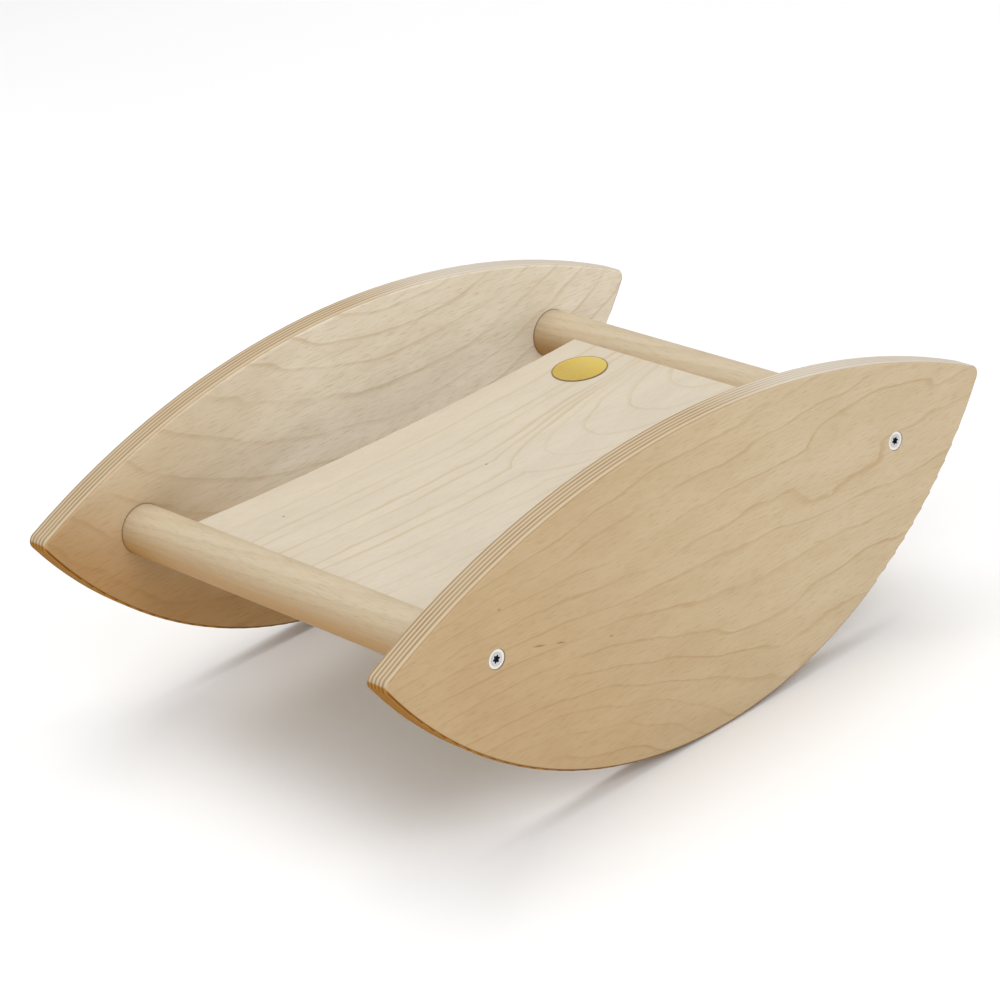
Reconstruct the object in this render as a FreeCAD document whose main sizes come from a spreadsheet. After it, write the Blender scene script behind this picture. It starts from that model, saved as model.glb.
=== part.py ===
"""Small wooden rocker seesaw: two lens-shaped side panels, two rails and a dished deck.

Frame: +X is forward (the rocking direction), +Y is left, +Z is up, in millimetres.
The origin is on the ground, under the middle of the object.
"""
import FreeCAD, Part
import math
import os

import Sketcher
from FreeCAD import Placement, Rotation, Vector

doc = FreeCAD.newDocument("RockerSeesaw")

# ---------------------------------------------------------------- driving dimensions

SIZES = [
    ("overall_width", 340, "outside to outside of the side panels"),
    ("panel_thickness", 18, "plywood side panel"),
    ("panel_chord", 508, "length of a panel between its tips, before they are rounded"),
    ("top_rise", 62.3, "height of the upper arc above the chord"),
    ("rocker_drop", 141.5, "depth of the rocking arc below the chord"),
    ("tip_radius", 6, "rounding of each tip, seen from the side"),
    ("panel_edge_radius", 2, "rounding along both edges of a panel's rim"),
    ("rail_diameter", 33, "round rail"),
    ("rail_reach", 178.5, "middle of the object to each rail's axis"),
    ("rail_below_chord", 18.5, "rail axis below the chord"),
    ("rail_end_chamfer", 1, "bevel on the rail ends"),
    ("socket_depth", 6, "how far a rail end sits in the panel"),
    ("socket_play", 0.4, "socket diameter over rail diameter"),
    ("deck_width", 227, "deck board, across the object"),
    ("deck_thickness", 18, "deck board"),
    ("deck_low_point", 5.1, "upper face above the rail axes at mid-length"),
    ("deck_bend_radius", 3500, "bend of the upper face"),
    ("deck_edge_radius", 0.8, "rounding along the deck's long edges"),
    ("groove_floor", 6, "rail axis to the floor of the groove that holds the deck"),
    ("groove_play", 0.05, "glue line above and below the deck in its groove"),
    ("screw_inset", 8, "screw axis nearer to the middle than the rail's axis"),
    ("screw_diameter", 6, "thread, outside"),
    ("screw_core", 4.2, "thread, root"),
    ("screw_length", 50, "countersunk head included"),
    ("thread_length", 28, "threaded stretch, tip included"),
    ("thread_pitch", 3, "from one thread ridge to the next"),
    ("ridge_width", 1.3, "thread ridge, along the screw"),
    ("ridge_root", 0.2, "foot of a ridge inside the core's surface"),
    ("screw_tip", 5, "length of the pointed tip"),
    ("head_diameter", 12, "countersunk head"),
    ("head_rim", 0.5, "upright rim of the head, above its cone"),
    ("head_sink", 0.6, "head face below the panel's outer face"),
    ("head_play", 0.3, "countersink radius over head radius"),
    ("head_ring", 9.4, "outer diameter of the shallow ring turned in the head"),
    ("head_ring_depth", 0.15, "depth of that ring"),
    ("star_core", 4, "star socket, across its inner circle"),
    ("star_lobe", 1.35, "star socket, diameter of a lobe"),
    ("star_reach", 2.1, "star socket, axis to the middle of a lobe"),
    ("star_depth", 2.4, "star socket, depth"),
    ("screw_hole", 6.6, "clearance hole in the panel"),
    ("badge_diameter", 38, "badge disc"),
    ("badge_rim", 1.6, "thickness of the disc at its rim"),
    ("badge_dome", 1, "extra height of the disc at its middle"),
    ("badge_recess", 1.1, "depth of the recess in the deck"),
    ("badge_forward", 133, "disc centre, ahead of the middle"),
    ("badge_left", 75, "disc centre, left of the middle"),
]

sheet = doc.addObject("Spreadsheet::Sheet", "Sizes")
for row, (alias, value, note) in enumerate(SIZES, start=1):
    sheet.set(f"A{row}", alias)
    sheet.set(f"B{row}", str(value))
    sheet.set(f"C{row}", note)
    sheet.setAlias(f"B{row}", alias)
doc.recompute()


def size(alias):
    """Value of a cell, used only for first guesses that the constraints then take over."""
    return float(getattr(sheet, alias))


# Formulas on the cells, for the sizes that follow from the driving ones.
INNER_HALF = "(Sizes.overall_width / 2 - Sizes.panel_thickness)"
RAIL_HEIGHT = "(Sizes.rocker_drop - Sizes.rail_below_chord)"
TOP_ARC = "((Sizes.panel_chord ^ 2 / 4 + Sizes.top_rise ^ 2) / (2 * Sizes.top_rise))"
ROCKER_ARC = "((Sizes.panel_chord ^ 2 / 4 + Sizes.rocker_drop ^ 2) / (2 * Sizes.rocker_drop))"
SCREW_REACH = "(Sizes.rail_reach - Sizes.screw_inset)"
DECK_HALF_LENGTH = "(Sizes.rail_reach - Sizes.groove_floor)"
BADGE_TILT = "-asin(Sizes.badge_forward / Sizes.deck_bend_radius)"
DECK_AT_BADGE = (
    "(Sizes.deck_low_point + Sizes.deck_bend_radius"
    " - sqrt(Sizes.deck_bend_radius ^ 2 - Sizes.badge_forward ^ 2))"
)

# Sketch axes and the root point, as constraints name them.
ROOT = (-1, 1)
ACROSS_AXIS = -1
UP_AXIS = -2
START, END, CENTRE = 1, 2, 3


# ---------------------------------------------------------------- small helpers

def new_body(label):
    body = doc.addObject("PartDesign::Body", label)
    body.Label = label
    return body


def origin_plane(body, role):
    return next(f for f in body.Origin.OriginFeatures if f.Role == role)


def new_sketch(body, name, role):
    """A sketch on one of the body's own origin planes."""
    sketch = body.newObject("Sketcher::SketchObject", name)
    sketch.AttachmentSupport = [(origin_plane(body, role), "")]
    sketch.MapMode = "FlatFace"
    return sketch


def bind(sketch, kind, references, name, formula, guess):
    """A named sketch dimension that follows a formula on the sheet."""
    index = sketch.addConstraint(Sketcher.Constraint(kind, *references, guess))
    sketch.renameConstraint(index, name)
    sketch.setExpression(f"Constraints.{name}", formula)


def join(sketch, *pairs):
    for first, second in pairs:
        sketch.addConstraint(Sketcher.Constraint("Coincident", *first, *second))


def add_circle(sketch, across, up, diameter, name, across_formula, up_formula, diameter_formula):
    """A dimensioned circle. A centre formula of None puts the centre on that axis."""
    circle = sketch.addGeometry(Part.Circle(Vector(across, up, 0), Vector(0, 0, 1), diameter / 2))
    if across_formula is None:
        sketch.addConstraint(Sketcher.Constraint("PointOnObject", circle, CENTRE, UP_AXIS))
    else:
        bind(sketch, "DistanceX", (*ROOT, circle, CENTRE), f"{name}_across", across_formula, across)
    if up_formula is None:
        sketch.addConstraint(Sketcher.Constraint("PointOnObject", circle, CENTRE, ACROSS_AXIS))
    else:
        bind(sketch, "DistanceY", (*ROOT, circle, CENTRE), f"{name}_up", up_formula, up)
    bind(sketch, "Diameter", (circle,), f"{name}_diameter", diameter_formula, diameter)
    return circle


def add_profile(sketch, corners, name):
    """A closed polygon of (across, up, across formula, up formula). Returns its last line's name."""
    count = len(corners)
    lines = []
    for index, corner in enumerate(corners):
        following = corners[(index + 1) % count]
        line = Part.LineSegment(Vector(corner[0], corner[1], 0), Vector(following[0], following[1], 0))
        lines.append(sketch.addGeometry(line))
    for index in range(count):
        join(sketch, ((lines[index], END), (lines[(index + 1) % count], START)))
    for index, (across, up, across_formula, up_formula) in enumerate(corners):
        point = (lines[index], START)
        if across_formula is None:
            sketch.addConstraint(Sketcher.Constraint("PointOnObject", *point, UP_AXIS))
        else:
            bind(sketch, "DistanceX", (*ROOT, *point), f"{name}_across{index}", across_formula, across)
        if up_formula is None:
            sketch.addConstraint(Sketcher.Constraint("PointOnObject", *point, ACROSS_AXIS))
        else:
            bind(sketch, "DistanceY", (*ROOT, *point), f"{name}_up{index}", up_formula, up)
    return f"Edge{lines[-1] + 1}"


def edges_where(shape, test):
    """Names of the edges that pass a test of their direction half way and their length."""
    names = []
    for number, edge in enumerate(shape.Edges, start=1):
        direction = edge.tangentAt((edge.FirstParameter + edge.LastParameter) / 2)
        if test(direction, edge.Length):
            names.append(f"Edge{number}")
    return names


def runs_across(direction, _length):
    return abs(direction.y) > 0.9


def lies_in_face(direction, _length):
    return abs(direction.y) < 0.1


def dress(body, kind, name, edges, dimension, formula):
    """A fillet or chamfer on the body's edges."""
    base = body.Tip
    feature = body.newObject(f"PartDesign::{kind}", name)
    feature.Base = (base, edges)
    feature.setExpression(dimension, formula)
    doc.recompute()
    return feature


def place(body, x_formula, y_formula, z_formula, turn=0.0):
    """Position the body by formulas, turned about the vertical."""
    body.Placement = Placement(Vector(), Rotation(Vector(0, 0, 1), turn))
    for axis, formula in zip("xyz", (x_formula, y_formula, z_formula)):
        if formula is not None:
            body.setExpression(f".Placement.Base.{axis}", formula)


def mirrored(body, name, features, role):
    """The body's features again, on the other side of one of its origin planes."""
    mirror = body.newObject("PartDesign::Mirrored", name)
    mirror.Originals = features
    mirror.MirrorPlane = (origin_plane(body, role), [""])
    body.Tip = mirror


def turned(body, kind, name, section, axis_name):
    """A Revolution or Groove, all the way round an axis of its section."""
    feature = body.newObject(f"PartDesign::{kind}", name)
    feature.Profile = section
    feature.ReferenceAxis = (section, [axis_name])
    feature.Angle = 360
    doc.recompute()
    return feature


# ---------------------------------------------------------------- side panels

def arc_radius(chord, rise):
    return (chord ** 2 / 4 + rise ** 2) / (2 * rise)


def draw_lens(sketch):
    """Outline of a panel: a shallow arc above the chord and a deep rocking arc below it."""
    half = size("panel_chord") / 2
    chord = size("rocker_drop")
    left, right = Vector(-half, chord, 0), Vector(half, chord, 0)
    crown = Vector(0, chord + size("top_rise"), 0)
    upper = sketch.addGeometry(Part.Arc(left, crown, right))
    lower = sketch.addGeometry(Part.Arc(left, Vector(0, 0, 0), right))
    upper_right, upper_left = (upper, START), (upper, END)
    lower_left, lower_right = (lower, START), (lower, END)
    join(sketch, (upper_left, lower_left), (upper_right, lower_right))
    sketch.addConstraint(Sketcher.Constraint("Symmetric", *upper_left, *upper_right, UP_AXIS))
    bind(sketch, "DistanceX", (*upper_left, *upper_right), "chord", "Sizes.panel_chord", 2 * half)
    bind(sketch, "DistanceY", (*ROOT, *upper_right), "chord_height", "Sizes.rocker_drop", chord)
    top_radius = arc_radius(2 * half, size("top_rise"))
    rocker_radius = arc_radius(2 * half, chord)
    bind(sketch, "Radius", (upper,), "top_radius", TOP_ARC, top_radius)
    bind(sketch, "Radius", (lower,), "rocker_radius", ROCKER_ARC, rocker_radius)


def countersink_profile(sketch):
    """Half section of the front screw hole, from the outer face inwards."""
    reach, outer = size("rail_reach") - size("screw_inset"), -size("panel_thickness")
    mouth = size("head_diameter") / 2 + size("head_play")
    bore = size("screw_hole") / 2
    sink = size("head_sink") + size("head_rim")
    mouth_edge = f"{SCREW_REACH} + Sizes.head_diameter / 2 + Sizes.head_play"
    bore_edge = f"{SCREW_REACH} + Sizes.screw_hole / 2"
    cone_top = "Sizes.head_sink + Sizes.head_rim - Sizes.panel_thickness"
    cone_foot = f"{cone_top} + Sizes.head_diameter / 2 + Sizes.head_play - Sizes.screw_hole / 2"
    corners = [
        (reach, outer, SCREW_REACH, "-Sizes.panel_thickness"),
        (reach + mouth, outer, mouth_edge, "-Sizes.panel_thickness"),
        (reach + mouth, outer + sink, mouth_edge, cone_top),
        (reach + bore, outer + sink + mouth - bore, bore_edge, cone_foot),
        (reach + bore, 0, bore_edge, None),
        (reach, 0, SCREW_REACH, None),
    ]
    return add_profile(sketch, corners, "hole")


def make_panel(label, side):
    """A panel is drawn with its inner face on the XZ plane and its outer face towards -Y."""
    body = new_body(label)
    outline = new_sketch(body, f"{label}_outline", "XZ_Plane")
    draw_lens(outline)
    board = body.newObject("PartDesign::Pad", f"{label}_board")
    board.Profile = outline
    board.setExpression("Length", "Sizes.panel_thickness")
    doc.recompute()

    tips = edges_where(body.Shape, runs_across)
    dress(body, "Fillet", f"{label}_tips", tips, "Radius", "Sizes.tip_radius")
    rims = edges_where(body.Shape, lies_in_face)
    dress(body, "Fillet", f"{label}_rims", rims, "Radius", "Sizes.panel_edge_radius")

    sockets = new_sketch(body, f"{label}_socket_circle", "XZ_Plane")
    add_circle(
        sockets, size("rail_reach"), size("rocker_drop") - size("rail_below_chord"),
        size("rail_diameter"), "socket",
        "Sizes.rail_reach", RAIL_HEIGHT, "Sizes.rail_diameter + Sizes.socket_play",
    )
    socket = body.newObject("PartDesign::Pocket", f"{label}_socket")
    socket.Profile = sockets
    socket.Reversed = True
    socket.setExpression("Length", "Sizes.socket_depth")

    section = new_sketch(body, f"{label}_hole_section", "XY_Plane")
    section.setExpression(".AttachmentOffset.Base.z", RAIL_HEIGHT)
    axis_name = countersink_profile(section)
    hole = turned(body, "Groove", f"{label}_screw_hole", section, axis_name)
    mirrored(body, f"{label}_rear_end", [socket, hole], "YZ_Plane")
    place(body, None, f"{side} * {INNER_HALF}", None, 180 if side > 0 else 0)
    return body


# ---------------------------------------------------------------- rails

def make_rail(label, end):
    """A rail is drawn along Y about its own axis, with its groove facing -X."""
    body = new_body(label)
    round_sketch = new_sketch(body, f"{label}_round", "XZ_Plane")
    add_circle(round_sketch, 0, 0, size("rail_diameter"), "rail", None, None, "Sizes.rail_diameter")
    bar = body.newObject("PartDesign::Pad", f"{label}_bar")
    bar.Profile = round_sketch
    bar.SideType = "Symmetric"
    bar.setExpression("Length", f"2 * ({INNER_HALF} + Sizes.socket_depth)")
    doc.recompute()
    rims = edges_where(body.Shape, lies_in_face)
    dress(body, "Chamfer", f"{label}_ends", rims, "Size", "Sizes.rail_end_chamfer")

    groove_sketch = new_sketch(body, f"{label}_groove_section", "XZ_Plane")
    groove_profile(groove_sketch)
    groove = body.newObject("PartDesign::Pocket", f"{label}_groove")
    groove.Profile = groove_sketch
    groove.SideType = "Symmetric"
    groove.setExpression("Length", "Sizes.deck_width")
    doc.recompute()

    pilot_section = new_sketch(body, f"{label}_pilot_section", "XY_Plane")
    axis_name = pilot_profile(pilot_section)
    pilot = turned(body, "Groove", f"{label}_pilot", pilot_section, axis_name)
    mirrored(body, f"{label}_far_pilot", [pilot], "XZ_Plane")
    place(body, f"{end} * Sizes.rail_reach", None, RAIL_HEIGHT, 0 if end > 0 else 180)
    return body


def deck_face(across, drop):
    """Height above the rail axes of the deck's upper face, or of its lower one a thickness down."""
    bend = size("deck_bend_radius")
    return size("deck_low_point") + bend - math.sqrt((bend + drop) ** 2 - across ** 2)


def deck_face_formula(across, drop):
    return (
        "Sizes.deck_low_point + Sizes.deck_bend_radius"
        f" - sqrt((Sizes.deck_bend_radius + {drop}) ^ 2 - ({across}) ^ 2)"
    )


def groove_profile(sketch):
    """Section of the groove: the deck's end with its glue lines, carried on past the rail's side."""
    floor, mouth = -size("groove_floor"), -size("rail_diameter") / 2 - 1
    floor_formula, mouth_formula = "-Sizes.groove_floor", "-Sizes.rail_diameter / 2 - 1"
    upper = (0, "0", size("groove_play"), "+ Sizes.groove_play")
    lower = (size("deck_thickness"), "Sizes.deck_thickness", -size("groove_play"), "- Sizes.groove_play")
    corners = []
    for across, across_formula, (drop, drop_formula, play, play_formula) in (
        (mouth, mouth_formula, upper),
        (floor, floor_formula, upper),
        (floor, floor_formula, lower),
        (mouth, mouth_formula, lower),
    ):
        up = deck_face(size("rail_reach") + across, drop) + play
        up_formula = deck_face_formula(f"Sizes.rail_reach + {across_formula}", drop_formula)
        corners.append((across, up, across_formula, f"{up_formula} {play_formula}"))
    add_profile(sketch, corners, "end")


def pilot_profile(sketch):
    """Half section of the bore that the screw's thread fills, at the rail's left end."""
    end = size("overall_width") / 2 - size("panel_thickness") + size("socket_depth")
    axis = -size("screw_inset")
    wall = axis - size("screw_diameter") / 2
    tip = size("overall_width") / 2 - size("head_sink") - size("screw_length")
    shoulder = tip + size("screw_tip")
    end_formula = f"{INNER_HALF} + Sizes.socket_depth"
    tip_formula = "Sizes.overall_width / 2 - Sizes.head_sink - Sizes.screw_length"
    wall_formula = "-Sizes.screw_inset - Sizes.screw_diameter / 2"
    corners = [
        (axis, end, "-Sizes.screw_inset", end_formula),
        (wall, end, wall_formula, end_formula),
        (wall, shoulder, wall_formula, f"{tip_formula} + Sizes.screw_tip"),
        (axis, tip, "-Sizes.screw_inset", tip_formula),
    ]
    return add_profile(sketch, corners, "pilot")


# ---------------------------------------------------------------- deck board

def make_deck():
    """Bent plywood board, drawn about the rails' height, its ends in the rails' grooves."""
    body = new_body("deck_board")
    section = new_sketch(body, "deck_section", "XZ_Plane")
    half = size("rail_reach") - size("groove_floor")
    bend, thick, low = size("deck_bend_radius"), size("deck_thickness"), size("deck_low_point")
    upper_rear, upper_front = (Vector(x, deck_face(x, 0), 0) for x in (-half, half))
    lower_rear, lower_front = (Vector(x, deck_face(x, thick), 0) for x in (-half, half))
    upper = section.addGeometry(Part.Arc(upper_rear, Vector(0, low, 0), upper_front))
    lower = section.addGeometry(Part.Arc(lower_rear, Vector(0, low - thick, 0), lower_front))
    front = section.addGeometry(Part.LineSegment(lower_front, upper_front))
    rear = section.addGeometry(Part.LineSegment(upper_rear, lower_rear))
    join(
        section,
        ((upper, END), (front, END)), ((front, START), (lower, END)),
        ((lower, START), (rear, END)), ((rear, START), (upper, START)),
        ((upper, CENTRE), (lower, CENTRE)),
    )
    section.addConstraint(Sketcher.Constraint("PointOnObject", upper, CENTRE, UP_AXIS))
    section.addConstraint(Sketcher.Constraint("Vertical", front))
    section.addConstraint(Sketcher.Constraint("Vertical", rear))
    bind(section, "DistanceX", (*ROOT, front, START), "front_end", DECK_HALF_LENGTH, half)
    bind(section, "DistanceX", (rear, START, *ROOT), "rear_end", DECK_HALF_LENGTH, half)
    bind(section, "Radius", (upper,), "upper_bend", "Sizes.deck_bend_radius", bend)
    bind(section, "Radius", (lower,), "lower_bend",
         "Sizes.deck_bend_radius + Sizes.deck_thickness", bend + thick)
    bind(section, "DistanceY", (*ROOT, upper, CENTRE), "bend_centre",
         "Sizes.deck_low_point + Sizes.deck_bend_radius", low + bend)
    board = body.newObject("PartDesign::Pad", "deck_bend")
    board.Profile = section
    board.SideType = "Symmetric"
    board.setExpression("Length", "Sizes.deck_width")
    doc.recompute()

    long_edges = edges_where(body.Shape, lambda _direction, length: length > half)
    dress(body, "Fillet", "deck_long_edges", long_edges, "Radius", "Sizes.deck_edge_radius")

    recess_circle = new_sketch(body, "badge_circle", "XY_Plane")
    recess_circle.AttachmentOffset = Placement(Vector(), Rotation(Vector(0, 1, 0), 1))
    recess_circle.setExpression(".AttachmentOffset.Rotation.Angle", BADGE_TILT)
    recess_circle.setExpression(".AttachmentOffset.Base.x", "Sizes.badge_forward")
    recess_circle.setExpression(".AttachmentOffset.Base.y", "Sizes.badge_left")
    recess_circle.setExpression(".AttachmentOffset.Base.z", DECK_AT_BADGE)
    add_circle(recess_circle, 0, 0, size("badge_diameter"), "badge", None, None, "Sizes.badge_diameter")
    recess = body.newObject("PartDesign::Pocket", "badge_recess")
    recess.Profile = recess_circle
    recess.SideType = "Two sides"
    recess.setExpression("Length", "Sizes.badge_recess")
    recess.setExpression("Length2", "Sizes.badge_recess")
    place(body, None, None, RAIL_HEIGHT)
    return body


# ---------------------------------------------------------------- screws

def make_screw(label, end, side):
    """A countersunk wood screw, drawn along Y with its head face on y = 0 and its tip at +Y."""
    body = new_body(label)
    head, core = size("head_diameter") / 2, size("screw_core") / 2
    rim, length = size("head_rim"), size("screw_length")
    shoulder = length - size("screw_tip")
    ring, ring_depth = size("head_ring") / 2, size("head_ring_depth")
    star = size("star_reach") + size("star_lobe")
    head_formula, core_formula = "Sizes.head_diameter / 2", "Sizes.screw_core / 2"
    cone_foot = "Sizes.head_rim + Sizes.head_diameter / 2 - Sizes.screw_core / 2"
    section = new_sketch(body, f"{label}_section", "XY_Plane")
    corners = [
        (0, 0, None, None),
        (star, 0, "Sizes.star_reach + Sizes.star_lobe", None),
        (star, ring_depth, "Sizes.star_reach + Sizes.star_lobe", "Sizes.head_ring_depth"),
        (ring, ring_depth, "Sizes.head_ring / 2", "Sizes.head_ring_depth"),
        (ring, 0, "Sizes.head_ring / 2", None),
        (head, 0, head_formula, None),
        (head, rim, head_formula, "Sizes.head_rim"),
        (core, rim + head - core, core_formula, cone_foot),
        (core, shoulder, core_formula, "Sizes.screw_length - Sizes.screw_tip"),
        (0, length, None, "Sizes.screw_length"),
    ]
    axis_name = add_profile(section, corners, "screw")
    turned(body, "Revolution", f"{label}_turned", section, axis_name)
    add_thread(body, label)
    add_star_socket(body, label)
    y_formula = f"{side} * (Sizes.overall_width / 2 - Sizes.head_sink)"
    place(body, f"{end} * {SCREW_REACH}", y_formula, RAIL_HEIGHT, 180 if side > 0 else 0)
    return body


def add_thread(body, label):
    """The thread, as a row of equal ridges on the core."""
    crest, root = size("screw_diameter") / 2, size("screw_core") / 2 - size("ridge_root")
    first, width = size("screw_length") - size("thread_length"), size("ridge_width")
    first_formula = "Sizes.screw_length - Sizes.thread_length"
    root_formula = "Sizes.screw_core / 2 - Sizes.ridge_root"
    crest_formula = "Sizes.screw_diameter / 2"
    ridge_section = new_sketch(body, f"{label}_ridge_section", "XY_Plane")
    corners = [
        (root, first, root_formula, first_formula),
        (crest, first + width / 2, crest_formula, f"{first_formula} + Sizes.ridge_width / 2"),
        (root, first + width, root_formula, f"{first_formula} + Sizes.ridge_width"),
    ]
    add_profile(ridge_section, corners, "ridge")
    ridge = turned(body, "Revolution", f"{label}_ridge", ridge_section, "V_Axis")
    thread = body.newObject("PartDesign::LinearPattern", f"{label}_thread")
    thread.Originals = [ridge]
    thread.Direction = (ridge_section, ["V_Axis"])
    ridges = "floor((Sizes.thread_length - Sizes.screw_tip) / Sizes.thread_pitch)"
    thread.setExpression("Length", f"({ridges} - 1) * Sizes.thread_pitch")
    thread.setExpression("Occurrences", ridges)
    body.Tip = thread
    doc.recompute()


def add_star_socket(body, label):
    """Six-lobed socket in the head face: a round core and six lobes round it."""
    core_circle = new_sketch(body, f"{label}_star_core_circle", "XZ_Plane")
    add_circle(core_circle, 0, 0, size("star_core"), "core", None, None, "Sizes.star_core")
    core = body.newObject("PartDesign::Pocket", f"{label}_star_core")
    core.Profile = core_circle
    core.setExpression("Length", "Sizes.star_depth")
    doc.recompute()
    lobe_circle = new_sketch(body, f"{label}_star_lobe_circle", "XZ_Plane")
    add_circle(lobe_circle, size("star_reach"), 0, size("star_lobe"), "lobe",
               "Sizes.star_reach", None, "Sizes.star_lobe")
    lobe = body.newObject("PartDesign::Pocket", f"{label}_star_lobe")
    lobe.Profile = lobe_circle
    lobe.setExpression("Length", "Sizes.star_depth")
    doc.recompute()
    star = body.newObject("PartDesign::PolarPattern", f"{label}_star")
    star.Originals = [lobe]
    star.Axis = (lobe_circle, ["N_Axis"])
    star.Angle = 360
    star.Occurrences = 6
    body.Tip = star
    doc.recompute()


# ---------------------------------------------------------------- badge disc

def make_badge():
    """A plain domed disc, seated in the deck's recess."""
    body = new_body("badge_disc")
    section = new_sketch(body, "badge_section", "XZ_Plane")
    radius, rim, dome = size("badge_diameter") / 2, size("badge_rim"), size("badge_dome")
    dome_radius = arc_radius(2 * radius, dome)
    dome_formula = (
        "((Sizes.badge_diameter / 2) ^ 2 + Sizes.badge_dome ^ 2) / (2 * Sizes.badge_dome)"
    )
    base = section.addGeometry(Part.LineSegment(Vector(0, 0, 0), Vector(radius, 0, 0)))
    wall = section.addGeometry(Part.LineSegment(Vector(radius, 0, 0), Vector(radius, rim, 0)))
    centre = Vector(0, rim + dome - dome_radius, 0)
    lean = math.asin(radius / dome_radius)
    circle = Part.Circle(centre, Vector(0, 0, 1), dome_radius)
    crown = section.addGeometry(Part.ArcOfCircle(circle, math.pi / 2 - lean, math.pi / 2))
    axis_line = section.addGeometry(Part.LineSegment(Vector(0, rim + dome, 0), Vector(0, 0, 0)))
    join(
        section,
        ((base, END), (wall, START)), ((wall, END), (crown, START)),
        ((crown, END), (axis_line, START)), ((axis_line, END), (base, START)),
        ((base, START), ROOT),
    )
    section.addConstraint(Sketcher.Constraint("Horizontal", base))
    section.addConstraint(Sketcher.Constraint("Vertical", wall))
    section.addConstraint(Sketcher.Constraint("Vertical", axis_line))
    section.addConstraint(Sketcher.Constraint("PointOnObject", crown, CENTRE, UP_AXIS))
    bind(section, "DistanceX", (base, START, base, END), "radius", "Sizes.badge_diameter / 2", radius)
    bind(section, "DistanceY", (wall, START, wall, END), "rim", "Sizes.badge_rim", rim)
    bind(section, "Radius", (crown,), "dome", dome_formula, dome_radius)
    turned(body, "Revolution", "badge_turned", section, f"Edge{axis_line + 1}")

    # The recess floor is square to the deck's bent face, so the disc leans with it.
    body.Placement = Placement(Vector(), Rotation(Vector(0, 1, 0), 1))
    body.setExpression(".Placement.Rotation.Angle", BADGE_TILT)
    x_formula = f"Sizes.badge_forward - Sizes.badge_recess * sin({BADGE_TILT})"
    z_formula = f"{RAIL_HEIGHT} + {DECK_AT_BADGE} - Sizes.badge_recess * cos({BADGE_TILT})"
    body.setExpression(".Placement.Base.x", x_formula)
    body.setExpression(".Placement.Base.y", "Sizes.badge_left")
    body.setExpression(".Placement.Base.z", z_formula)
    return body


# ---------------------------------------------------------------- assembly

bodies = [
    make_panel("panel_left", 1),
    make_panel("panel_right", -1),
    make_rail("rail_front", 1),
    make_rail("rail_rear", -1),
    make_deck(),
    make_badge(),
]
for end_name, end in (("front", 1), ("rear", -1)):
    for side_name, side in (("left", 1), ("right", -1)):
        bodies.append(make_screw(f"screw_{end_name}_{side_name}", end, side))
doc.recompute()

for item in doc.Objects:
    if "Invalid" in item.State or "Error" in item.State:
        raise RuntimeError(f"{item.Name} failed: {item.State}")
for body in bodies:
    if body.Shape.isNull() or not body.Shape.isValid():
        raise RuntimeError(f"{body.Label} has no valid shape")

os.makedirs("parts", exist_ok=True)
for body in bodies:
    body.Shape.exportStep(f"parts/{body.Label}.step")
    print(f"{body.Label}: {body.Shape.Volume:.0f} mm3")
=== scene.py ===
import math

import bpy
from mathutils import Matrix, Vector


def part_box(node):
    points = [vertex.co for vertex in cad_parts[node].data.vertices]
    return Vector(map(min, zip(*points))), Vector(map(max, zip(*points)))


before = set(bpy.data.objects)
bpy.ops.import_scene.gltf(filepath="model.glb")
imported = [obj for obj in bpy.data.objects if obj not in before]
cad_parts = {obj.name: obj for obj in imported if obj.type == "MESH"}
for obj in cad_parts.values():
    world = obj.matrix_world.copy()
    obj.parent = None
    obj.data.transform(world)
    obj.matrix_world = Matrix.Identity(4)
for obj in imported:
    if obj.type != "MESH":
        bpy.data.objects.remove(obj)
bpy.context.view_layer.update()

# Camera, in metres and degrees
CAMERA_PLACE = (-1.29726, -1.56139, 1.05414)
CAMERA_AZIMUTH = -39.453
CAMERA_ELEVATION = 24.949
CAMERA_ROLL = -8.004
CAMERA_LENS = 127.82
SENSOR_WIDTH = 36.0


def box_mm(node):
    """Lowest and highest corner of a CAD node, in millimetres."""
    low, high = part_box(node)
    return low * 1000.0, high * 1000.0


def middle_mm(node):
    low, high = box_mm(node)
    return (low + high) / 2.0


# Places taken from the frame, in millimetres
PANEL_INNER, PANEL_FACE = (corner.y for corner in box_mm("panel_left"))
PANEL_MIDDLE = (PANEL_INNER + PANEL_FACE) / 2.0
PANEL_TOP = box_mm("panel_left")[1].z
RAIL_REACH = middle_mm("rail_front").x
RAIL_AXIS = middle_mm("rail_front").z
SCREW_REACH = middle_mm("screw_front_left").x
SCREW_FACE = box_mm("screw_front_left")[1].y
BADGE = middle_mm("badge_disc")
BADGE_RADIUS = (box_mm("badge_disc")[1].y - box_mm("badge_disc")[0].y) / 2.0

# The deck's upper face is a shallow parabola: its rise is x squared over twice the bend radius.
DECK_BEND = 7000.0
DECK_END = box_mm("deck_board")[1]
DECK_TOP = DECK_END.z - DECK_END.x ** 2 / DECK_BEND

# Radii of a panel's lower and upper arcs, in millimetres
ROCKER_ARC = 298.7
TOP_ARC = 548.9

# Dark plies by their depth from the visible face of a board, in millimetres
PLY_LINES = (3.7, 6.9, 10.0, 13.1, 16.1)

# Small brown bark marks of the near panel: place along it, height and length, in millimetres
BARK_MARKS = ((-138.0, 117.0, 7.0), (-122.0, 112.0, 5.0), (-83.0, 99.0, 1.6), (-164.0, 152.0, 1.6))

# Growth lines of the deck by the level of its figure, with their strengths
DECK_LINES = ((1.5, 1.0), (31.6, 0.9), (78.0, 1.0), (257.0, 0.7), (431.0, 1.0), (1228.0, 0.8),
              (-30.0, 0.5), (-65.0, 0.9), (-105.0, 0.8), (-145.0, 0.7))

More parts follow.
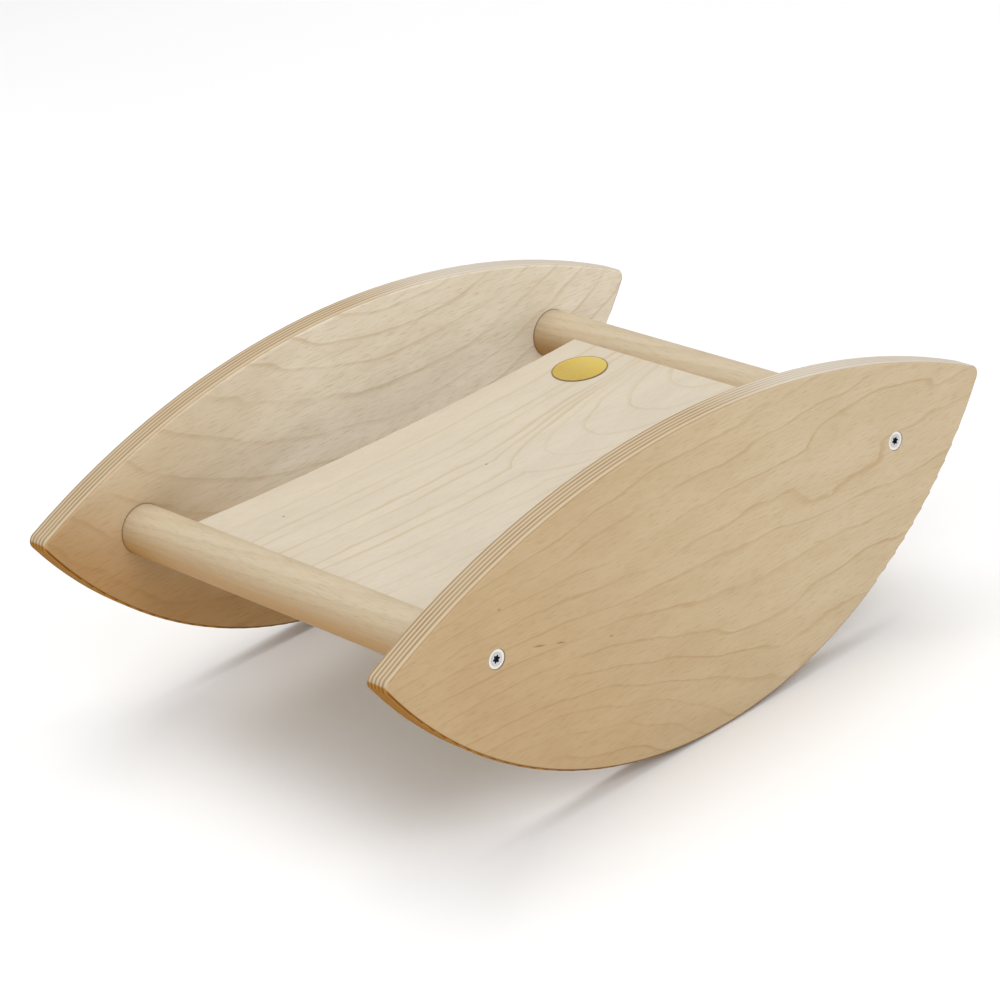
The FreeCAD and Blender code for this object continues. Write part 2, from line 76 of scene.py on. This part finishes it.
# Shape of the deck's figure, in millimetres: a valley along the board that opens into arches
FIGURE_MIDDLE = -3.0
VALLEY = 24.0
ARCH_WIDTH = 32.0
ARCH_RISE = 15.0
ARCH_START = 5.0

# Two pin knots of the deck, in millimetres
DECK_KNOTS = ((-126.0, 73.6), (-0.4, 22.7))

# The rails were cut from beside the pith, which lies this far from a rail's axis, in millimetres
PITH_SIDE = 9.0
PITH_BELOW = 34.0

SCREWS = ("screw_front_left", "screw_front_right", "screw_rear_left", "screw_rear_right")

# Lights by place in metres, width in metres and power in watts, all aimed at one point
LIGHTS = (("light_over", (0.5, 0.4, 3.2), 2.6, 56.0),
          ("light_left", (-3.0, -0.6, 1.8), 2.0, 18.0),
          ("light_front", (-0.9, -2.6, 2.6), 2.2, 30.0))
LIGHT_AIM = (0.0, 0.0, 0.1)
SKY_STRENGTH = 0.62

# The floor lies this far below the panels, in metres, so that the two surfaces don't meet
FLOOR_DROP = 0.0005
FLOOR_SIZE = 24.0


# Node graphs

class Graph:
    """Builds one material's node tree."""

    def __init__(self, name):
        self.material = bpy.data.materials.new(name)
        self.material.use_nodes = True
        self.tree = self.material.node_tree
        self.shader = self.tree.nodes["Principled BSDF"]

    def node(self, kind, **values):
        made = self.tree.nodes.new(kind)
        for key, value in values.items():
            setattr(made, key, value)
        return made

    def feed(self, socket, value):
        if isinstance(value, bpy.types.NodeSocket):
            self.tree.links.new(value, socket)
        else:
            socket.default_value = value

    def math(self, operation, a, b=0.0):
        made = self.node("ShaderNodeMath", operation=operation)
        self.feed(made.inputs[0], a)
        self.feed(made.inputs[1], b)
        return made.outputs[0]

    def add(self, a, b):
        return self.math("ADD", a, b)

    def sub(self, a, b):
        return self.math("SUBTRACT", a, b)

    def mul(self, a, b):
        return self.math("MULTIPLY", a, b)

    def div(self, a, b):
        return self.math("DIVIDE", a, b)

    def top(self, a, b):
        return self.math("MAXIMUM", a, b)

    def size(self, a):
        return self.math("ABSOLUTE", a)

    def length(self, a, b):
        """Length of the line whose two legs are given."""
        return self.math("SQRT", self.add(self.mul(a, a), self.mul(b, b)))

    def ramp(self, value, low, high, out_low=0.0, out_high=1.0):
        """Smooth change from out_low to out_high while the value goes from low to high."""
        made = self.node("ShaderNodeMapRange", interpolation_type="SMOOTHSTEP")
        for index, item in enumerate((value, low, high, out_low, out_high)):
            self.feed(made.inputs[index], item)
        return made.outputs[0]

    def near(self, value, centre, half):
        """One at centre, falling to nothing at half from it."""
        return self.ramp(self.size(self.sub(value, centre)), 0.0, half, 1.0, 0.0)

    def hill(self, along, across, length, width):
        """One at its middle, falling to nothing past its length and width."""
        u = self.div(along, length)
        v = self.div(across, width)
        return self.ramp(self.add(self.mul(u, u), self.mul(v, v)), 0.0, 1.0, 1.0, 0.0)

    def mix(self, factor, a, b, blend="MIX"):
        made = self.node("ShaderNodeMix", data_type="RGBA", blend_type=blend)
        self.feed(made.inputs["Factor"], factor)
        colours = [socket for socket in made.inputs if socket.type == "RGBA"]
        self.feed(colours[0], a)
        self.feed(colours[1], b)
        return [socket for socket in made.outputs if socket.type == "RGBA"][0]

    def tint(self, factor, colour, filter_colour):
        """The colour as seen through a filter, as far as the factor says."""
        return self.mix(factor, colour, filter_colour, "MULTIPLY")

    def place(self):
        """The object's own coordinates, in millimetres."""
        coordinates = self.node("ShaderNodeTexCoord")
        scaled = self.node("ShaderNodeVectorMath", operation="SCALE")
        self.feed(scaled.inputs[0], coordinates.outputs["Object"])
        scaled.inputs["Scale"].default_value = 1000.0
        split = self.node("ShaderNodeSeparateXYZ")
        self.feed(split.inputs[0], scaled.outputs[0])
        return split.outputs[0], split.outputs[1], split.outputs[2]

    def facing(self):
        """Direction that the surface faces."""
        coordinates = self.node("ShaderNodeNewGeometry")
        split = self.node("ShaderNodeSeparateXYZ")
        self.feed(split.inputs[0], coordinates.outputs["Normal"])
        return split.outputs[0], split.outputs[1], split.outputs[2]

    def point(self, x, y, z):
        joined = self.node("ShaderNodeCombineXYZ")
        for socket, value in zip(joined.inputs, (x, y, z)):
            self.feed(socket, value)
        return joined.outputs[0]

    def noise(self, point, scale, detail=2.0, roughness=0.5):
        made = self.node("ShaderNodeTexNoise")
        self.feed(made.inputs["Vector"], point)
        made.inputs["Scale"].default_value = scale
        made.inputs["Detail"].default_value = detail
        made.inputs["Roughness"].default_value = roughness
        return made.outputs[0]

    def bump(self, height, distance):
        """Relief of the surface, its distance in metres."""
        made = self.node("ShaderNodeBump")
        made.inputs["Strength"].default_value = 1.0
        made.inputs["Distance"].default_value = distance
        self.feed(made.inputs["Height"], height)
        self.feed(self.shader.inputs["Normal"], made.outputs[0])

    def finish(self, colour, roughness, coat=0.0, coat_roughness=0.3, gloss=0.3):
        self.feed(self.shader.inputs["Base Color"], colour)
        self.feed(self.shader.inputs["Roughness"], roughness)
        self.shader.inputs["Coat Weight"].default_value = coat
        self.shader.inputs["Coat Roughness"].default_value = coat_roughness
        self.shader.inputs["Specular IOR Level"].default_value = gloss
        return self.material


def linear(red, green, blue):
    """An 8-bit display colour as a linear one."""
    def one(value):
        value = value / 255.0
        return value / 12.92 if value <= 0.04045 else ((value + 0.055) / 1.055) ** 2.4
    return (one(red), one(green), one(blue), 1.0)


def shade(colour, factor):
    return (colour[0] * factor, colour[1] * factor, colour[2] * factor, 1.0)


# Wood

def fibres(graph, along, across, other):
    """Short fine fibres, as a factor round nought."""
    stretched = graph.point(graph.mul(along, 0.09), graph.mul(across, 1.1), graph.mul(other, 1.1))
    fine = graph.noise(stretched, 1.0, 4.0, 0.65)
    return graph.sub(fine, 0.5)


def stroke(graph, across):
    """A growth line by the distance from it in millimetres: crisp on one side, fading on the other."""
    crisp = graph.ramp(across, -0.5, 0.3, 0.0, 1.0)
    fading = graph.ramp(across, 0.3, 3.4, 1.0, 0.0)
    return graph.mul(crisp, fading)


def growth_rings(graph, height, spacing, wander, width):
    """Repeated growth lines: nought between them, one on them. The width is a share of the spacing."""
    saw = graph.math("FRACT", graph.add(graph.div(height, spacing), wander))
    rise = graph.ramp(saw, 1.0 - width, 1.0 - 0.25 * width, 0.0, 1.0)
    fall = graph.ramp(saw, 1.0 - 0.22 * width, 1.0, 1.0, 0.0)
    return graph.mul(rise, fall)


def ply_lines(graph, depth, along):
    """The dark plies, a little wavy and patchy. They fade past the middle."""
    wave = graph.noise(graph.point(graph.mul(along, 0.03), depth, 0.0), 1.0)
    moved = graph.add(depth, graph.mul(graph.sub(wave, 0.5), 0.4))
    lines = graph.near(moved, PLY_LINES[0], 1.5)
    for centre in PLY_LINES[1:]:
        lines = graph.top(lines, graph.near(moved, centre, 1.35))
    cloud = graph.noise(graph.point(graph.mul(along, 0.02), graph.mul(depth, 0.3), 0.0), 1.0)
    patchy = graph.ramp(cloud, 0.3, 0.7, 0.7, 1.0)
    faded = graph.ramp(along, 0.0, 90.0, 1.0, 0.45)
    return graph.mul(graph.mul(lines, patchy), faded)


def ply_edge(graph, depth, along, colours):
    """End grain of the plies, with a brown line beside the visible face."""
    light, dark, brown = colours
    bleached = graph.mix(graph.ramp(along, 0.0, 110.0), light, linear(204, 194, 179))
    banded = graph.mix(ply_lines(graph, depth, along), bleached, dark)
    line = graph.mul(graph.near(depth, 0.35, 0.8), graph.ramp(along, 0.0, 120.0, 1.0, 0.45))
    return graph.mix(graph.mul(line, 0.8), banded, brown)


# Side panels

def near_figure(graph, x, z):
    """Lines fan out from the rear tip and close round an eye near the front."""
    fan = graph.mul(graph.sub(z, 150.0), graph.ramp(x, -180.0, 60.0, 1.0, 0.5))
    eye = graph.hill(graph.sub(x, 117.0), graph.sub(z, 116.0), 66.0, 17.0)
    curl = graph.hill(graph.sub(x, 150.0), graph.sub(z, 154.0), 70.0, 19.0)
    return graph.add(graph.add(fan, graph.mul(eye, 8.0)), graph.mul(curl, -7.0))


def far_figure(graph, x, z):
    """Wide shallow troughs with their lowest point ahead of the middle."""
    side = graph.div(graph.sub(x, 60.0), 160.0)
    trough = graph.mul(graph.mul(side, side), 42.0)
    return graph.mul(graph.sub(graph.sub(z, 140.0), trough), graph.ramp(x, -180.0, 60.0, 0.62, 1.0))


# What sets the two panels apart. The figure is drawn by a function, with lines "spacing" millimetres
# apart that sway and wander. "pale_end" is where the paler wood of the front begins. "shade_filter" is
# painted shade: a darker tint that stands in for the shade low on a face, strongest at the height
# "shade_low" and gone at "shade_high".
NEAR_PANEL = {
    "visible_face": PANEL_FACE,
    "figure": near_figure,
    "seed": 3.0,
    "rear": linear(198, 172, 134),
    "front": linear(209, 190, 158),
    "tan": linear(172, 138, 92),
    "pale_end": 130.0,
    "spacing": 11.5,
    "line_width": 0.17,
    "contrast": 0.43,
    "sway": 20.8,
    "wander": 0.5,
    "shade_filter": (0.85, 0.75, 0.60, 1.0),
    "shade_low": 10.0,
    "shade_high": 150.0,
    "shade_most": 0.3,
    "shade_outside": 1.0,
    "marks": BARK_MARKS,
}
FAR_PANEL = {
    "visible_face": PANEL_INNER,
    "figure": far_figure,
    "seed": 9.0,
    "rear": linear(219, 201, 172),
    "front": linear(241, 231, 212),
    "tan": linear(186, 160, 116),
    "pale_end": -10.0,
    "spacing": 19.0,
    "line_width": 0.22,
    "contrast": 0.34,
    "sway": 25.6,
    "wander": 0.22,
    "shade_filter": (0.66, 0.44, 0.22, 1.0),
    "shade_low": 8.0,
    "shade_high": 125.0,
    "shade_most": 1.0,
    "shade_outside": 0.3,
    "marks": (),
}
PANEL_PLIES = (linear(192, 173, 143), linear(138, 112, 78), linear(126, 92, 54))
# Painted shade of the lower rim: a brown filter
RIM_SHADE_TINT = (0.72, 0.42, 0.10, 1.0)


def arc_gap(graph, x, z, radius, centre):
    """Millimetres from a point of a panel to the arc, measured towards the arc's centre."""
    return graph.sub(radius, graph.length(x, graph.sub(z, centre)))


def panel_rim(graph, x, z, low_gap):
    """One on the rim, nought on the faces. It follows the arcs, because facets would tear its border."""
    top_gap = arc_gap(graph, x, z, TOP_ARC, PANEL_TOP - TOP_ARC)
    low_rim = graph.ramp(low_gap, 1.2, 2.1, 1.0, 0.0)
    top_rim = graph.ramp(top_gap, 0.3, 1.3, 1.0, 0.0)
    sideways = graph.facing()[1]
    tips = graph.ramp(graph.size(sideways), 0.3, 0.6, 1.0, 0.0)
    return graph.top(graph.top(low_rim, top_rim), tips)


def rim_wear_and_shade(graph, x, low_gap):
    """Mask of the rim that rocks on the floor, stronger towards the rear: painted shade, a brown tint,
    in its colour, and wear in its roughness.
    """
    worn_and_shaded = graph.ramp(low_gap, 1.4, 2.8, 1.0, 0.0)
    return graph.mul(worn_and_shaded, graph.ramp(x, -130.0, -20.0, 1.0, 0.35))


def painted_panel_shade(graph, look, x, y, z):
    """Painted shade: how far a face is darkened, most low down and towards the rear."""
    above = graph.sub(z, graph.div(graph.mul(x, x), 560.0))
    low_down = graph.ramp(above, look["shade_low"], look["shade_high"], look["shade_most"], 0.0)
    rearward = graph.ramp(x, -60.0, 120.0, 1.0, 0.15)
    side = graph.ramp(graph.size(y), PANEL_MIDDLE - 3.0, PANEL_MIDDLE + 3.0, 0.9, look["shade_outside"])
    return graph.mul(graph.mul(low_down, rearward), side)


def panel_lines(graph, look, x, z, medium):
    """Growth lines of a panel, and the soft bands beside them."""
    large = graph.noise(graph.point(graph.mul(x, 0.007), look["seed"], graph.mul(z, 0.022)), 1.0, 2.0)
    sway = graph.mul(graph.sub(large, 0.5), look["sway"])
    height = graph.add(look["figure"](graph, x, z), sway)
    wander = graph.mul(graph.sub(medium, 0.5), look["wander"])
    lines = growth_rings(graph, height, look["spacing"], wander, look["line_width"])
    bands = growth_rings(graph, height, look["spacing"], wander, 0.9)
    return lines, bands


def bark_mark(graph, face, x, z, mark):
    """A small brown dash that falls towards the front."""
    mark_x, mark_z, length = mark
    along = graph.sub(x, mark_x)
    across = graph.add(graph.sub(z, mark_z), graph.mul(along, 0.28))
    away = graph.length(graph.div(along, length), graph.div(across, 0.8))
    return graph.mix(graph.mul(graph.near(away, 0.0, 1.0), 0.75), face, linear(112, 76, 44))


def panel_face(graph, look, x, z, grain):
    """Colour of a panel's faces, and its growth lines."""
    tan = look["tan"]
    medium = graph.noise(graph.point(graph.mul(x, 0.02), look["seed"], graph.mul(z, 0.07)), 1.0, 3.0)
    lines, bands = panel_lines(graph, look, x, z, medium)
    patchy = graph.noise(graph.point(graph.mul(x, 0.012), look["seed"], graph.mul(z, 0.03)), 1.0)
    strength = graph.ramp(patchy, 0.3, 0.66, 0.25 * look["contrast"], look["contrast"])
    face = graph.mix(graph.ramp(x, -190.0, look["pale_end"]), look["rear"], look["front"])
    face = graph.mix(graph.ramp(medium, 0.32, 0.68, 0.16, 0.0), face, tan)
    face = graph.mix(graph.mul(lines, strength), face, tan)
    face = graph.mix(graph.mul(graph.mul(bands, strength), 0.15), face, tan)
    face = graph.mix(graph.ramp(grain, -0.02, 0.2, 0.0, 0.36), face, shade(tan, 0.92))
    for mark in look["marks"]:
        face = bark_mark(graph, face, x, z, mark)
    return face, lines


def panel_wood(name, look):
    graph = Graph(name)
    x, y, z = graph.place()
    grain = fibres(graph, x, z, y)
    face, lines = panel_face(graph, look, x, z, grain)
    # Painted shade: the faces are tinted darker low down and towards the rear
    face = graph.tint(painted_panel_shade(graph, look, x, y, z), face, look["shade_filter"])
    depth = graph.size(graph.sub(graph.size(y), look["visible_face"]))
    low_gap = arc_gap(graph, x, z, ROCKER_ARC, ROCKER_ARC)
    # Painted shade: the lower rim is tinted brown, most towards the rear; the same mask makes it rougher
    wear_and_shade = rim_wear_and_shade(graph, x, low_gap)
    edge = graph.tint(wear_and_shade, ply_edge(graph, depth, x, PANEL_PLIES), RIM_SHADE_TINT)
    colour = graph.mix(panel_rim(graph, x, z, low_gap), face, edge)
    graph.bump(graph.add(graph.mul(grain, 0.6), graph.mul(lines, -0.25)), 0.00012)
    lacquered = graph.ramp(grain, -0.2, 0.2, 0.50, 0.62)
    return graph.finish(colour, graph.top(lacquered, graph.mul(wear_and_shade, 0.95)), gloss=0.15)


# Deck

DECK_PALE = linear(202, 191, 172)
DECK_TAN = linear(180, 158, 120)
DECK_PLIES = (linear(193, 173, 142), linear(156, 132, 98), linear(160, 132, 96))


def deck_level(graph, x, y):
    """Level of the figure, and its steepness, which keeps every line the same width."""
    off = graph.sub(y, FIGURE_MIDDLE)
    reach = graph.math("SQRT", graph.add(graph.mul(off, off), 4.0))
    share = graph.div(reach, ARCH_WIDTH)
    cubed = graph.math("POWER", share, 3.0)
    valley = graph.div(graph.mul(reach, reach), VALLEY)
    arches = graph.mul(graph.mul(cubed, share), ARCH_RISE)
    bowl = graph.add(graph.add(valley, arches), ARCH_START)
    level = graph.sub(bowl, graph.top(x, ARCH_START))
    across = graph.add(graph.div(reach, VALLEY / 2.0), graph.mul(cubed, 4.0 * ARCH_RISE / ARCH_WIDTH))
    along_squared = graph.ramp(x, 0.0, 2.0 * ARCH_START)
    squared = graph.add(graph.mul(across, across), along_squared)
    return level, graph.math("SQRT", graph.add(squared, 0.02))


def deck_figure(graph, x, y):
    """Cathedral figure: long lines behind the middle that open into arches ahead of it."""
    level, slope = deck_level(graph, x, y)
    sway = graph.noise(graph.point(graph.mul(x, 0.013), graph.mul(y, 0.03), 0.0), 1.0, 2.0)
    drift = graph.add(graph.mul(graph.sub(sway, 0.5), 9.0), graph.mul(x, -0.012))
    total = 0.0
    for line, weight in DECK_LINES:
        across = graph.add(graph.div(graph.sub(level, line), slope), drift)
        total = graph.top(total, graph.mul(stroke(graph, across), weight))
    return graph.mul(total, graph.ramp(y, -45.0, -5.0, 0.45, 1.0))


def pin_knot(graph, face, x, y, knot):
    """A small dark knot, longer along the board than across it."""
    off_x = graph.sub(x, knot[0])
    off_y = graph.sub(y, knot[1])
    squared = graph.add(graph.mul(graph.mul(off_x, off_x), 0.4), graph.mul(off_y, off_y))
    away = graph.math("SQRT", squared)
    return graph.mix(graph.mul(graph.near(away, 0.0, 1.2), 0.8), face, linear(78, 58, 40))


def deck_face(graph, x, y, grain):
    """Colour of the deck's broad faces, and its growth lines."""
    wave = graph.noise(graph.point(graph.mul(x, 0.012), graph.mul(y, 0.05), 0.0), 1.0, 3.0)
    lines = deck_figure(graph, x, y)
    patchy = graph.noise(graph.point(graph.mul(x, 0.012), graph.mul(y, 0.04), 4.0), 1.0)
    strength = graph.ramp(patchy, 0.28, 0.66, 0.25, 0.62)
    face = graph.mix(graph.ramp(wave, 0.3, 0.7), DECK_PALE, shade(DECK_PALE, 0.94))
    face = graph.mix(graph.mul(lines, strength), face, DECK_TAN)
    face = graph.mix(graph.ramp(grain, -0.02, 0.2, 0.0, 0.32), face, DECK_TAN)
    for knot in DECK_KNOTS:
        face = pin_knot(graph, face, x, y, knot)
    return face, lines


def deck_wood():
    graph = Graph("deck_lacquered")
    x, y, z = graph.place()
    grain = fibres(graph, x, y, z)
    face, lines = deck_face(graph, x, y, grain)
    surface = graph.add(graph.div(graph.mul(x, x), DECK_BEND), DECK_TOP)
    edge = ply_edge(graph, graph.sub(surface, z), x, DECK_PLIES)
    upward = graph.facing()[2]
    colour = graph.mix(graph.ramp(graph.size(upward), 0.93, 0.60), face, edge)
    graph.bump(graph.add(graph.mul(grain, 0.5), graph.mul(lines, -0.2)), 0.0001)
    return graph.finish(colour, graph.ramp(grain, -0.2, 0.2, 0.46, 0.56), 0.1, 0.35)


# Rails

RAIL_PALE = linear(192, 176, 149)
# Painted shade: the warm brown that the rails' lower sides are painted
RAIL_UNDER_SHADE = linear(172, 130, 72)
RAIL_TAN = linear(168, 144, 108)


def rail_rings(graph, y, side, lift, seed):
    """Rings round a pith that lies beside the rail and drifts along it."""
    bend = graph.noise(graph.point(graph.mul(y, 0.004), seed, 0.0), 1.0)
    drift = graph.mul(graph.sub(bend, 0.5), 24.0)
    from_pith = graph.add(graph.add(side, PITH_SIDE), graph.add(graph.mul(y, 0.03), drift))
    above_pith = graph.add(graph.add(lift, PITH_BELOW), graph.mul(y, 0.045))
    radius = graph.length(from_pith, above_pith)
    wave = graph.noise(graph.point(graph.mul(y, 0.02), graph.mul(side, 0.1), seed), 1.0, 2.0)
    wander = graph.mul(graph.sub(wave, 0.5), 0.5)
    return growth_rings(graph, radius, 4.4, wander, 0.7)


def rail_wood(name, centre_x, seed):
    graph = Graph(name)
    x, y, z = graph.place()
    side = graph.sub(x, centre_x)
    lift = graph.sub(z, RAIL_AXIS)
    rings = rail_rings(graph, y, side, lift, seed)
    fine = graph.point(graph.mul(side, 1.6), graph.mul(y, 0.10), graph.mul(lift, 1.6))
    pores = graph.noise(fine, 1.0, 3.0, 0.6)
    upward = graph.facing()[2]
    # Painted shade: the rail turns warmer and darker as its surface faces down
    colour = graph.mix(graph.ramp(upward, 0.95, -0.5), RAIL_PALE, RAIL_UNDER_SHADE)
    colour = graph.mix(graph.mul(rings, 0.17), colour, shade(RAIL_TAN, 0.92))
    colour = graph.mix(graph.ramp(pores, 0.50, 0.68, 0.0, 0.38), colour, shade(RAIL_TAN, 0.86))
    # Painted shade: a brown band on the rail just before it enters the panel, where the socket gap is in
    # shade
    joint_shade = graph.ramp(graph.size(y), PANEL_INNER - 1.6, PANEL_INNER + 0.2, 0.0, 0.75)
    colour = graph.mix(joint_shade, colour, linear(112, 80, 48))
    graph.bump(graph.add(graph.mul(pores, -0.5), graph.mul(rings, -0.2)), 0.00012)
    return graph.finish(colour, graph.ramp(pores, 0.3, 0.7, 0.46, 0.60), 0.08, 0.4)


# Badge and screws

def badge_finish():
    """Yellow lacquer, darker in the seam round the disc, with painted light: lighter towards the front
    of the dome.
    """
    graph = Graph("badge_lacquer")
    x, y, z = graph.place()
    off_x = graph.sub(x, BADGE.x)
    away = graph.length(off_x, graph.sub(y, BADGE.y))
    speckle = graph.noise(graph.point(x, y, z), 0.6, 3.0)
    yellow = graph.mix(graph.ramp(speckle, 0.3, 0.7), linear(188, 158, 44), linear(178, 148, 38))
    # Painted light: the yellow grows lighter towards the front, where the dome catches the light
    colour = graph.mix(graph.ramp(off_x, -12.0, BADGE_RADIUS), yellow, linear(206, 178, 50))
    seam = graph.ramp(away, BADGE_RADIUS - 1.4, BADGE_RADIUS - 0.3)
    colour = graph.mix(seam, colour, linear(112, 84, 34))
    graph.bump(speckle, 0.00005)
    return graph.finish(colour, graph.ramp(speckle, 0.3, 0.7, 0.2, 0.27), 0.8, 0.08)


def screw_finish():
    """Bright zinc with a turned ring on the head, a painted highlight on the head's rim and painted
    shade in the star socket.
    """
    graph = Graph("screw_zinc")
    x, y, z = graph.place()
    away = graph.length(graph.sub(graph.size(x), SCREW_REACH), graph.sub(z, RAIL_AXIS))
    rough = graph.noise(graph.point(x, y, z), 1.4, 3.0)
    zinc = graph.mix(graph.ramp(rough, 0.3, 0.7), linear(214, 214, 212), linear(196, 197, 198))
    # Painted highlight: the rim of the head is whiter, standing in for the bevel's reflection
    head = graph.mix(graph.ramp(away, 3.6, 4.6), zinc, linear(238, 236, 232))
    turned = graph.near(away, 4.1, 0.5)
    head = graph.mix(graph.mul(turned, 0.5), head, linear(150, 148, 146))
    # Painted shade: the star socket is painted dark where it lies deeper than the head's face
    deep = graph.ramp(graph.size(y), SCREW_FACE - 0.5, SCREW_FACE - 0.15, 1.0, 0.0)
    socket = graph.mul(deep, graph.ramp(away, 3.3, 3.0))
    colour = graph.mix(socket, head, linear(52, 58, 66))
    graph.shader.inputs["Metallic"].default_value = 0.35
    graph.bump(rough, 0.00003)
    return graph.finish(colour, graph.ramp(rough, 0.3, 0.7, 0.30, 0.42), gloss=0.5)


def dress(node, material):
    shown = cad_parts[node]
    shown.data.materials.clear()
    shown.data.materials.append(material)


def dress_all():
    dress("panel_right", panel_wood("panel_near", NEAR_PANEL))
    dress("panel_left", panel_wood("panel_far", FAR_PANEL))
    dress("deck_board", deck_wood())
    dress("rail_front", rail_wood("rail_raised", RAIL_REACH, 3.0))
    dress("rail_rear", rail_wood("rail_low", -RAIL_REACH, 11.0))
    dress("badge_disc", badge_finish())
    zinc = screw_finish()
    for name in SCREWS:
        dress(name, zinc)


# Studio

def studio_floor():
    bpy.ops.mesh.primitive_plane_add(size=FLOOR_SIZE, location=(0.0, 0.0, -FLOOR_DROP))
    floor = bpy.context.object
    floor.name = "studio_floor"
    graph = Graph("floor_pale")
    x, y, z = graph.place()
    cloud = graph.noise(graph.point(x, y, z), 0.002, 2.0)
    colour = graph.mix(graph.ramp(cloud, 0.3, 0.7), (0.90, 0.90, 0.90, 1.0), (0.88, 0.88, 0.88, 1.0))
    floor.data.materials.append(graph.finish(colour, 0.85))


def soft_light(name, place, width, power):
    data = bpy.data.lights.new(name, "AREA")
    data.shape = "SQUARE"
    data.size = width
    data.energy = power
    lamp = bpy.data.objects.new(name, data)
    bpy.context.collection.objects.link(lamp)
    lamp.location = place
    aim = Vector(LIGHT_AIM) - Vector(place)
    lamp.rotation_euler = aim.to_track_quat("-Z", "Y").to_euler()


def studio_lights():
    for light in LIGHTS:
        soft_light(*light)


def studio_world():
    world = bpy.data.worlds.new("studio_dome")
    world.use_nodes = True
    ground = world.node_tree.nodes["Background"]
    ground.inputs["Color"].default_value = (1.0, 1.0, 1.0, 1.0)
    ground.inputs["Strength"].default_value = SKY_STRENGTH
    bpy.context.scene.world = world


def camera():
    data = bpy.data.cameras.new("camera")
    data.sensor_width = SENSOR_WIDTH
    data.lens = CAMERA_LENS
    seen = bpy.data.objects.new("camera", data)
    bpy.context.collection.objects.link(seen)
    turn = (Matrix.Rotation(math.radians(CAMERA_AZIMUTH), 4, "Z")
            @ Matrix.Rotation(math.radians(90.0 - CAMERA_ELEVATION), 4, "X")
            @ Matrix.Rotation(math.radians(CAMERA_ROLL), 4, "Z"))
    seen.matrix_world = Matrix.Translation(CAMERA_PLACE) @ turn
    bpy.context.scene.camera = seen


dress_all()
studio_floor()
studio_world()
studio_lights()
camera()
bpy.context.scene.view_settings.view_transform = "Standard"
